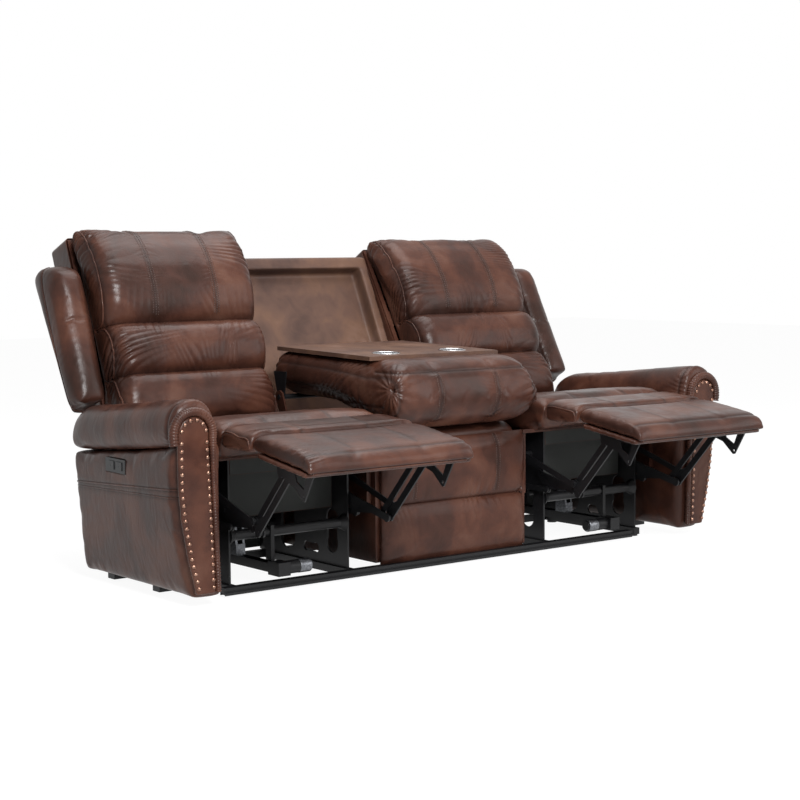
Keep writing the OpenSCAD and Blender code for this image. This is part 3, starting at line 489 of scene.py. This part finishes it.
# Softness of the edges that shifts and seams fade over, in millimetres, and the rest of how a seam lies
sewLook = {
    "zoneSoft": 12, "dentSoft": 4, "pullSoft": 30, "liftHalf": 306, "liftSoft": 60, "liftLeast": 0.2,
    # The last value on the next line is how far the painted shade beside a seam reaches
    "along": 0.7, "groove": 1.4, "sagFrom": -4, "sagReach": 22, "grooveShadeReach": 6.0,
    "patchLevel": 0.55, "patchShare": 0.45, "patchMm": 61.0, "patchStart": 1.9,
    "seamStart": 0.37, "pieceStart": 0.31,
}
# The share, length in pitches and offset of each slow wave that makes the folds uneven
foldLook = {
    "bend": (0.5, 2.3, 5), "waver": (0.3, 0.9, 11), "slant": (0.35, 3.1, 7), "height": (0.45, 1.7, 13),
    "level": 0.55, "sharp": 0.75, "crown": 1.6,
}


def zoneShare(local, zone, soften):
    share = np.ones(len(local))
    for key, (low, high) in zone.items():
        value = local[:, axisNumber[key]]
        share *= np.clip((value - low) / soften, 0, 1) * np.clip((high - value) / soften, 0, 1)
    return share


def foldWave(along, away, pitch, start):
    # Round ridges between sharp creases, unevenly spaced and unevenly high, some of them slanting
    slow = {}
    for key in ("bend", "waver", "slant", "height"):
        share, length, offset = foldLook[key]
        slow[key] = share * np.sin(along / (length * pitch) + offset * start)
    slant = slow["slant"] * np.abs(away) / pitch
    phase = along / pitch + (slow["bend"] + slow["waver"]) + slant + start
    ridges = np.abs(np.sin(np.pi * phase)) ** foldLook["sharp"]
    return (foldLook["crown"] * ridges - 1) * (foldLook["level"] + slow["height"])


def panelShift(local, settings):
    # What moves whole edges and panels, before any seam is sewn
    shift = np.zeros_like(local)
    across = np.abs(local[:, 0])
    if "domed" in settings:
        # The front panel wraps round to a side seam that lies far back
        dome = settings["domed"]
        inside = np.clip((dome["half"] - across) / dome["band"], 0, 1)
        full = dome["keep"] + (1 - dome["keep"]) * np.sqrt(1 - (1 - inside) ** 2)
        front = np.clip((dome["rear"] - local[:, 1]) / dome["soften"], 0, 1)
        shift[:, 1] += (dome["rear"] - local[:, 1]) * (1 - full) * front
    for rows, low, tall in settings.get("lift", ()):
        # Fills the edge towards the next cushion, so that the seat runs on
        ys, rises = zip(*rows)
        inside = np.clip((sewLook["liftHalf"] - across) / sewLook["liftSoft"], sewLook["liftLeast"], 1)
        share = np.clip((local[:, 2] - low) / tall, 0, 1) * inside
        shift[:, 2] += np.interp(local[:, 1], ys, rises, left=0, right=0) * share
    for dent in settings.get("dents", ()):
        # Room behind the control plate for its keys
        shift[:, 0] -= dent["by"] * zoneShare(local, dent["zone"], sewLook["dentSoft"])
    for pull in settings.get("pull", ()):
        share = np.clip((local[:, 2] - pull["from"]) / (pull["to"] - pull["from"]), 0, 1)
        soften = sewLook["pullSoft"]
        shift[:, 2] += pull["by"] * share * np.clip((pull["within"] + soften - across) / soften, 0, 1)
    return shift


def sew(piece, settings, start):
    look = sewLook
    places, normals = readMesh(piece)
    mirror = mirrorOf(piece)
    local = pieceMm(places, settings["place"], mirror)
    shift = panelShift(local, settings)
    rise = np.zeros(len(local))
    # nearSeam is painted shade: how much the leather's colour darkens beside each seam and in each knot of gathers
    nearSeam = np.zeros(len(local))
    for number, seam in enumerate(settings["seams"]):
        index = axisNumber[seam["axis"]]
        away = local[:, index] - seam["at"] - seam.get("slope", 0) * local[:, 1]
        far = np.abs(away)
        share = zoneShare(local, seam.get("zone", {}), look["zoneSoft"])
        along = local[:, (0 if index else 2)] + look["along"] * local[:, 1 if index != 1 else 2]
        rise -= share * seam["deep"] * np.exp(-(far / seam["wide"]) ** look["groove"])
        wave = foldWave(along, away, seam["pitch"], look["seamStart"] * number + start)
        strength = share * np.exp(-far / seam["reach"]) * (1 - np.exp(-(far / seam["wide"]) ** 2))
        if "facing" in seam:
            strength = strength * (away * seam["facing"] > 0)
        patch = np.sin(along / look["patchMm"] + look["patchStart"] * number + start)
        rise += seam["pleat"] * wave * strength * (look["patchLevel"] + look["patchShare"] * patch)
        hang = (away > look["sagFrom"]) * np.exp(-far / look["sagReach"])
        shift[:, index] -= share * seam.get("sag", 0) * hang
        nearSeam = np.maximum(nearSeam, share * np.exp(-far / look["grooveShadeReach"]))
    for knot in settings.get("knots", ()):
        away = local - np.array(knot["at"])
        gap = np.linalg.norm(away, axis=1)
        turn = np.arctan2(away[:, 2], away[:, 1] + away[:, 0] * np.sign(knot["at"][0]))
        waver = knot["waver"] * np.sin(knot["waves"] * turn)
        folds = foldLook["crown"] * np.abs(np.sin(turn * knot["folds"] / 2 + waver)) - 1
        rise -= knot["deep"] * np.exp(-(gap / knot["wide"]) ** 2)
        rise += knot["pleat"] * folds * np.exp(-gap / knot["reach"]) * (1 - np.exp(-(gap / knot["wide"]) ** 2))
        nearSeam = np.maximum(nearSeam, np.exp(-gap / knot["wide"]))
    shift[:, 0] *= mirror
    shift = shift @ np.array(settings["place"].to_3x3()).T
    places = places + normals * (rise / 1000)[:, None] + shift / 1000
    piece.data.vertices.foreach_set("co", places.ravel())
    # The painted shade goes to the material as the "seam" attribute
    attribute = piece.data.attributes.new("seam", "FLOAT", "POINT")
    attribute.data.foreach_set("value", nearSeam)
    piece.data.update()


fewestPoints = 12  # a shorter run of the cut is a stray one


def seamPaths(piece, settings, seam, offset):
    # The line where the seam's plane meets the cover, as ordered runs of (place, normal)
    mirror = mirrorOf(piece)
    place = settings["place"]
    axis = Vector([1.0 if key == seam["axis"] else 0.0 for key in "xyz"])
    at = axis * ((seam["at"] + offset) / 1000)
    axis.y -= seam.get("slope", 0)
    if seam["axis"] == "x":
        at *= mirror
    bm = bmesh.new()
    bm.from_mesh(piece.data)
    bm.normal_update()
    made = bmesh.ops.bisect_plane(bm, geom=bm.verts[:] + bm.edges[:] + bm.faces[:], dist=1e-7,
                                  plane_co=place @ at, plane_no=place.to_3x3() @ axis)
    inward = place.inverted()

    def kept(vert):
        local = inward @ vert.co * 1000
        local.x *= mirror
        return all(low <= local[axisNumber[key]] <= high for key, (low, high) in seam.get("zone", {}).items())

    # A dictionary, unlike a set, gives the edges in the same order on each run
    edges = dict.fromkeys(e for e in made["geom_cut"] if isinstance(e, bmesh.types.BMEdge)
                          and kept(e.verts[0]) and kept(e.verts[1]))
    runs = []
    while edges:
        first = next(iter(edges))
        del edges[first]
        run = list(first.verts)
        for end in (-1, 0):
            following = first
            while following:
                following = next((e for e in run[end].link_edges if e in edges), None)
                if following:
                    del edges[following]
                    run.insert(len(run) if end else 0, following.other_vert(run[end]))
        if len(run) > fewestPoints:
            runs.append([(v.co.copy(), v.normal.copy()) for v in run])
    bm.free()
    return runs


def evenSteps(run, step):
    points = [run[0]]
    left = step
    for (a, na), (b, nb) in zip(run, run[1:]):
        length = (b - a).length
        while length >= left > 0:
            share = left / length
            points.append((a.lerp(b, share), na.lerp(nb, share)))
            left += step
        left -= length
    return points


stitchLook = {"length": 0.0052, "gap": 0.0074, "thick": 0.0013, "flat": 0.8, "above": 0.0004}


def stitchTemplate():
    bm = bmesh.new()
    bmesh.ops.create_uvsphere(bm, u_segments=6, v_segments=4, radius=1)
    mesh = bpy.data.meshes.new("stitch")
    bm.to_mesh(mesh)
    bm.free()
    return mesh


oneStitch = stitchTemplate()


def stitchRun(bm, run):
    look = stitchLook
    points = evenSteps(run, look["gap"])
    size = Matrix.Diagonal((look["thick"], look["thick"] * look["flat"], look["length"] / 2, 1))
    for (a, na), (b, nb) in zip(points, points[1:]):
        ahead = (b - a).normalized()
        side = (na + nb).normalized().cross(ahead).normalized()
        up = ahead.cross(side)
        first = len(bm.verts)
        bm.from_mesh(oneStitch)
        bm.verts.ensure_lookup_table()
        turn = Matrix([[side[i], up[i], ahead[i]] for i in range(3)]).to_4x4()
        bmesh.ops.transform(bm, matrix=Matrix.Translation((a + b) / 2 + up * look["above"]) @ turn @ size,
                            verts=bm.verts[first:])


def leatherTube(name, radius):
    data = bpy.data.curves.new(name, "CURVE")
    data.dimensions = "3D"
    data.bevel_depth = radius / 1000
    data.bevel_resolution = 3
    return data


def tubePiece(name, data):
    curve = bpy.data.objects.new(name + "_curve", data)
    trimming.objects.link(curve)
    bpy.context.view_layer.update()
    mesh = bpy.data.meshes.new_from_object(curve.evaluated_get(bpy.context.evaluated_depsgraph_get()))
    bpy.data.objects.remove(curve)
    bm = bmesh.new()
    bm.from_mesh(mesh)
    return newPiece(name, bm, trimming, brownLeather)


# Piping, a cord wrapped in leather and sewn into the seam: "above" is the share of its radius that stands out
weltLook = {"step": 0.012, "above": 0.4}


def welt(name, runs, radius, body):
    data = leatherTube(name, radius)
    for run in runs:
        points = evenSteps(run, weltLook["step"])
        spline = data.splines.new("NURBS")
        spline.order_u = 4
        spline.use_endpoint_u = True
        spline.points.add(len(points) - 1)
        for target, (at, normal) in zip(spline.points, points):
            target.co = (*(at + normal * (radius * weltLook["above"] / 1000)), 1)
    piece = tubePiece(name, data)
    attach(piece, body)


def trimSeams(piece, name, settings):
    rows = bmesh.new()
    for index, seam in enumerate(settings["seams"]):
        for offset in seam.get("rows", ()):
            for run in seamPaths(piece, settings, seam, offset):
                stitchRun(rows, run)
        runs = seamPaths(piece, settings, seam, 0) if "welt" in seam else ()
        if runs:
            welt(f"{name}_welt_{index}", runs, seam["welt"], settings["body"])
    if len(rows.verts):
        stitches = newPiece(name + "_stitching", rows, trimming, thread)
        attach(stitches, settings["body"])
    else:
        rows.free()


for number, (name, piece) in enumerate(softPieces.items()):
    settings = soft[name]
    smoother = piece.modifiers.new("subdivision", "SUBSURF")
    smoother.levels = smoother.render_levels = 1
    settle(piece)
    sew(piece, settings, sewLook["pieceStart"] * number)
    trimSeams(piece, name, settings)
    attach(piece, settings["body"])
    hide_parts(name)
for piece in [p for p in (*upholstery.objects, *trimming.objects) if "chaise_bridge" in p.name]:
    word = piece.name.split("_")[0]
    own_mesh(piece)
print("covers sewn")

# Boards under wadding and leather
boardLook = {
    "left_arm_facing": {"body": "sofa_base", "voxel": 0.0035, "rounds": 5, "finish": brownLeather},
    "left_footrest_board": {"body": "left_footrest", "voxel": 0.005, "rounds": 4, "finish": brownLeather},
    "right_arm_facing": {"body": "sofa_base", "voxel": 0.0035, "rounds": 5, "finish": brownLeather},
    "right_footrest_board": {"body": "right_footrest", "voxel": 0.005, "rounds": 4, "finish": brownLeather},
    "centre_back": {"body": "sofa_base", "voxel": 0.0065, "rounds": 4, "finish": panelLeather},
}
for name, look in boardLook.items():
    piece = coverOver(name, look["finish"], look["voxel"], look["rounds"])
    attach(piece, look["body"])
    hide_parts(name)

# The leather sleeve over the top, sides and rear of each back shell
sleeveLook = {"half": 295, "front": 24, "rear": 135, "low": -22, "top": 639, "round": 14, "thick": 2.5}


def shellSleeve(side, word):
    look = sleeveLook
    bm = bmesh.new()
    bmesh.ops.create_cube(bm, size=1)
    size = Vector((2 * look["half"], look["rear"] - look["front"], look["top"] - look["low"])) / 1000
    middle = Vector((0, (look["rear"] + look["front"]) / 2, (look["top"] + look["low"]) / 2)) / 1000
    bmesh.ops.scale(bm, vec=size, verts=bm.verts[:])
    bmesh.ops.translate(bm, vec=middle, verts=bm.verts[:])
    bm.normal_update()
    # Open to the front, where the cushion lies, and below
    gone = [f for f in bm.faces if f.normal.y < -0.9 or f.normal.z < -0.9]
    bmesh.ops.delete(bm, geom=gone, context="FACES_ONLY")
    inner = [e for e in bm.edges if len(e.link_faces) == 2]
    bmesh.ops.bevel(bm, geom=inner, offset=look["round"] / 1000, offset_type="OFFSET", segments=5, profile=0.5,
                    affect="EDGES", material=-1)
    bmesh.ops.solidify(bm, geom=bm.faces[:], thickness=look["thick"] / 1000)
    bmesh.ops.recalc_face_normals(bm, faces=bm.faces[:])
    bmesh.ops.transform(bm, matrix=backPlace(side, word), verts=bm.verts[:])
    piece = newPiece(word + "_back_sleeve", bm, upholstery, brownLeather)
    piece.data.set_sharp_from_angle(angle=math.radians(40))
    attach(piece, word + "_back")


# Ruched ring, a gathered leather roll round the nailed facing. It starts thin at the foot and is "full" above;
# "pitch" and "gather" are the spacing and height of its gathers.
ringLook = {
    "inner": [(930, 42), (933, 155), (937, 266), (940, 376), (941, 462)], "outer": [(1064, 466), (1062, 452)],
    "arch": (1002.5, 480), "archRadius": 61.5, "archStep": 6, "front": 0, "step": 1.6,
    "thick": 8.5, "full": 1.5, "fullFrom": 400, "fullOver": 70, "pitch": 7.5, "gather": 0.16, "crown": 1.3,
    "waver": 0.4, "waverMm": 23, "sharp": 0.7, "swell": 0.25, "swellMm": 31,
}


def ringPath():
    look = ringLook
    cx, cz = look["arch"]
    turns = [math.radians(degrees) for degrees in range(0, 181, look["archStep"])]
    arch = [(cx - look["archRadius"] * math.cos(a), cz + look["archRadius"] * math.sin(a)) for a in turns]
    return [Vector((x, look["front"], z)) for x, z in look["inner"] + arch + look["outer"]]


def ruchedRing(side, word):
    look = ringLook
    run = [(p / 1000, Vector((0, -1, 0))) for p in ringPath()]
    points = [at for at, _ in evenSteps(run, look["step"] / 1000)]
    data = leatherTube(word + "_ring", look["thick"])
    data.use_fill_caps = True
    spline = data.splines.new("POLY")
    spline.points.add(len(points) - 1)
    for number, (target, at) in enumerate(zip(spline.points, points)):
        length = number * look["step"]
        waver = look["waver"] * math.sin(length / look["waverMm"])
        wave = abs(math.sin(math.pi * (length / look["pitch"] + waver))) ** look["sharp"]
        swell = 1 - look["swell"] + look["swell"] * math.sin(length / look["swellMm"])
        full = 1 + (look["full"] - 1) * min(max((at.z * 1000 - look["fullFrom"]) / look["fullOver"], 0), 1)
        target.radius = full + look["gather"] * (2 * wave - look["crown"]) * swell
        target.co = (side * at.x, at.y + frontY, at.z, 1)
    piece = tubePiece(word + "_ruched_ring", data)
    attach(piece, "sofa_base")


# Domed nail heads over the facings
nailLook = {"radius": 6.2, "high": 4.3}


def domeMesh():
    bm = bmesh.new()
    bmesh.ops.create_uvsphere(bm, u_segments=12, v_segments=6, radius=1)
    bmesh.ops.rotate(bm, cent=(0, 0, 0), matrix=Matrix.Rotation(quarterTurn, 3, "X"), verts=bm.verts[:])
    bmesh.ops.scale(bm, vec=(nailLook["radius"] / 1000, nailLook["high"] / 1000, nailLook["radius"] / 1000),
                    verts=bm.verts[:])
    mesh = bpy.data.meshes.new("nail_dome")
    bm.to_mesh(mesh)
    bm.free()
    return mesh


def domeNails():
    # One dome over each loose solid of the CAD nail heads
    oneDome = domeMesh()
    source = bmesh.new()
    source.from_mesh(nodes["nailheads"].data)
    bmesh.ops.remove_doubles(source, verts=source.verts[:], dist=weldGap)
    left = dict.fromkeys(source.verts)
    bm = bmesh.new()
    while left:
        island = [next(iter(left))]
        del left[island[0]]
        for vert in island:
            for edge in vert.link_edges:
                other = edge.other_vert(vert)
                if other in left:
                    del left[other]
                    island.append(other)
        spans = [(min(v.co[i] for v in island), max(v.co[i] for v in island)) for i in range(3)]
        first = len(bm.verts)
        bm.from_mesh(oneDome)
        bm.verts.ensure_lookup_table()
        bmesh.ops.translate(bm, vec=(sum(spans[0]) / 2, spans[1][1], sum(spans[2]) / 2), verts=bm.verts[first:])
    source.free()
    piece = newPiece("nail_domes", bm, trimming, agedCopper)
    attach(piece, "sofa_base")


# Charcoal lining stretched behind the linkages, in millimetres from each seat's middle, with a slight ripple. The
# "rear" sheet is painted shade: a charcoal sheet that darkens the frame's open back.
liningAndShadeLook = {
    "under": {"half": 203, "low": 206, "high": 380, "y": 203.2},
    "lip": {"half": 203, "low": 341, "high": 382, "y": 127.2},
    # Painted shade: a charcoal sheet across the open back of the seat frame
    "rear": {"half": 298, "low": 36, "high": 328, "y": 598.8},
}
rippleLook = {"deep": 0.0004, "across": 60, "down": 35}


def liningAndShadeSheet(side, word, key):
    look = liningAndShadeLook[key]
    wide, tall = 2 * look["half"] / 1000, (look["high"] - look["low"]) / 1000
    bm = bmesh.new()
    bmesh.ops.create_grid(bm, x_segments=24, y_segments=10, size=0.5)
    bmesh.ops.scale(bm, vec=(wide, tall, 1), verts=bm.verts[:])
    bmesh.ops.rotate(bm, cent=(0, 0, 0), matrix=Matrix.Rotation(quarterTurn, 3, "X"), verts=bm.verts[:])
    for vert in bm.verts:
        across, down = vert.co.x * rippleLook["across"] + side, vert.co.z * rippleLook["down"]
        vert.co.y += rippleLook["deep"] * math.sin(across) * math.cos(down)
    bmesh.ops.translate(bm, vec=atMm(side * layout["seatX"], look["y"], (look["low"] + look["high"]) / 2),
                        verts=bm.verts[:])
    piece = newPiece(f"{word}_{key}_lining", bm, trimming, liningAndShadeCloth)
    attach(piece, "sofa_base")


# The bright steel can at the end of each motor
canLook = {"radius": 20.3, "long": 40, "round": 2.2, "inset": 25, "y": 100, "z": 62.5}


def motorCan(side, word):
    look = canLook
    radius = look["radius"] / 1000
    bm = bmesh.new()
    bmesh.ops.create_cone(bm, cap_ends=True, segments=48, radius1=radius, radius2=radius, depth=look["long"] / 1000)
    rims = [e for e in bm.edges if e.calc_face_angle(0) > 1]
    bmesh.ops.bevel(bm, geom=rims, offset=look["round"] / 1000, offset_type="OFFSET", segments=3, profile=0.5,
                    affect="EDGES", material=-1)
    bmesh.ops.rotate(bm, cent=(0, 0, 0), matrix=Matrix.Rotation(quarterTurn, 3, "Y"), verts=bm.verts[:])
    bmesh.ops.translate(bm, vec=atMm(side * (layout["seatX"] - look["inset"]), look["y"], look["z"]),
                        verts=bm.verts[:])
    piece = newPiece(word + "_motor_can", bm, trimming, zincSteel)
    piece.data.set_sharp_from_angle(angle=math.radians(30))
    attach(piece, "sofa_base")


for side, word in sides:
    shellSleeve(side, word)
for side, word in sides:
    ruchedRing(side, word)
domeNails()
for side, word in sides:
    for key in liningAndShadeLook:
        liningAndShadeSheet(side, word, key)
    motorCan(side, word)
print("boards and trim placed")

cameraLook = {
    "at": (-3517.9, -4125.2, 971.8), "yaw": 38.0, "pitch": 4.8, "roll": -0.4, "lens": 80.73, "sensor": 36,
    "far": 100,
}


def cameraAxes(yaw, pitch, roll):
    yaw, pitch, roll = (math.radians(a) for a in (yaw, pitch, roll))
    ahead = Vector((math.sin(yaw) * math.cos(pitch), math.cos(yaw) * math.cos(pitch), -math.sin(pitch)))
    right = Vector((math.cos(yaw), -math.sin(yaw), 0))
    up = right.cross(ahead)
    return right * math.cos(roll) + up * math.sin(roll), up * math.cos(roll) - right * math.sin(roll), -ahead


cameraData = bpy.data.cameras.new("camera")
cameraData.lens = cameraLook["lens"]
cameraData.sensor_width = cameraLook["sensor"]
cameraData.clip_end = cameraLook["far"]
camera = bpy.data.objects.new("camera", cameraData)
studio.objects.link(camera)
axes = cameraAxes(cameraLook["yaw"], cameraLook["pitch"], cameraLook["roll"])
turned = Matrix([[a[i] for a in axes] for i in range(3)]).to_4x4()
camera.matrix_world = Matrix.Translation(atMm(*cameraLook["at"])) @ turned
bpy.context.scene.camera = camera


def seenDirectly(tree):
    # 1 for rays from the camera and for what shows in metal and glass
    path = addNode(tree, "ShaderNodeLightPath")
    either = addNode(tree, "ShaderNodeMath",
                     [(path.outputs["Is Camera Ray"], 0), (path.outputs["Is Glossy Ray"], 1)], operation="MAXIMUM")
    return addNode(tree, "ShaderNodeMath", [(either.outputs[0], 0), (path.outputs["Is Transmission Ray"], 1)],
                   operation="MAXIMUM").outputs[0]


# Matt white paper: white to the camera, and it still takes the shadow
paperLook = {"colour": "#f2f2f2", "rough": 0.9, "white": 1.1, "share": 0.85, "half": 14}


def paperMaterial():
    look = paperLook
    colour = hexColour(look["colour"])
    material, tree, shader = startMaterial("seamless_paper_white", Roughness=look["rough"], Base_Color=colour)
    glow = addNode(tree, "ShaderNodeEmission", Strength=look["white"], Color=(1, 1, 1, 1))
    share = addNode(tree, "ShaderNodeMath", [(seenDirectly(tree), 0)], values={1: look["share"]},
                    operation="MULTIPLY")
    mix = addNode(tree, "ShaderNodeMixShader",
                  [(share.outputs[0], 0), (shader.outputs[0], 1), (glow.outputs[0], 2)])
    tree.links.new(mix.outputs[0], tree.nodes["Material Output"].inputs["Surface"])
    return material


bm = bmesh.new()
bmesh.ops.create_grid(bm, x_segments=2, y_segments=2, size=paperLook["half"])
floor = newPiece("floor", bm, studio, paperMaterial())

# The room behind the sofa is darker than the lit end where the camera stands
roomLook = {"From_Min": -1.0, "From_Max": 0.8, "To_Min": 0.42, "To_Max": 0.1}
world = bpy.data.worlds.new("room")
bpy.context.scene.world = world
world.use_nodes = True
tree = world.node_tree
sky = tree.nodes["Background"]
sky.inputs["Color"].default_value = (1, 1, 1, 1)
ways = addNode(tree, "ShaderNodeSeparateXYZ", [(addNode(tree, "ShaderNodeTexCoord").outputs["Generated"], 0)])
dusk = addNode(tree, "ShaderNodeMapRange", [(ways.outputs["Y"], "Value")], **roomLook)
tree.links.new(dusk.outputs["Result"], sky.inputs["Strength"])
seen = addNode(tree, "ShaderNodeBackground", Color=(1, 1, 1, 1), Strength=1.0)
mix = addNode(tree, "ShaderNodeMixShader", [(seenDirectly(tree), 0), (sky.outputs[0], 1), (seen.outputs[0], 2)])
tree.links.new(mix.outputs[0], tree.nodes["World Output"].inputs["Surface"])

lampTarget = Vector((0, 0, 0.5))
lampLook = {
    "key": {"at": (-1.7, -4.0, 2.9), "size": 1.4, "watts": 300},
    "fill": {"at": (3.0, -3.4, 2.0), "size": 2.4, "watts": 55},
    "top": {"at": (0.2, 0.0, 3.6), "size": 2.8, "watts": 120},
}
for name, look in lampLook.items():
    data = bpy.data.lights.new(name, "AREA")
    data.shape = "SQUARE"
    data.size = look["size"]
    data.energy = look["watts"]
    lamp = bpy.data.objects.new(name, data)
    lamp.location = look["at"]
    lamp.rotation_euler = (lampTarget - Vector(look["at"])).to_track_quat("-Z", "Y").to_euler()
    studio.objects.link(lamp)

bpy.context.scene.view_settings.view_transform = "Standard"
print("studio ready")
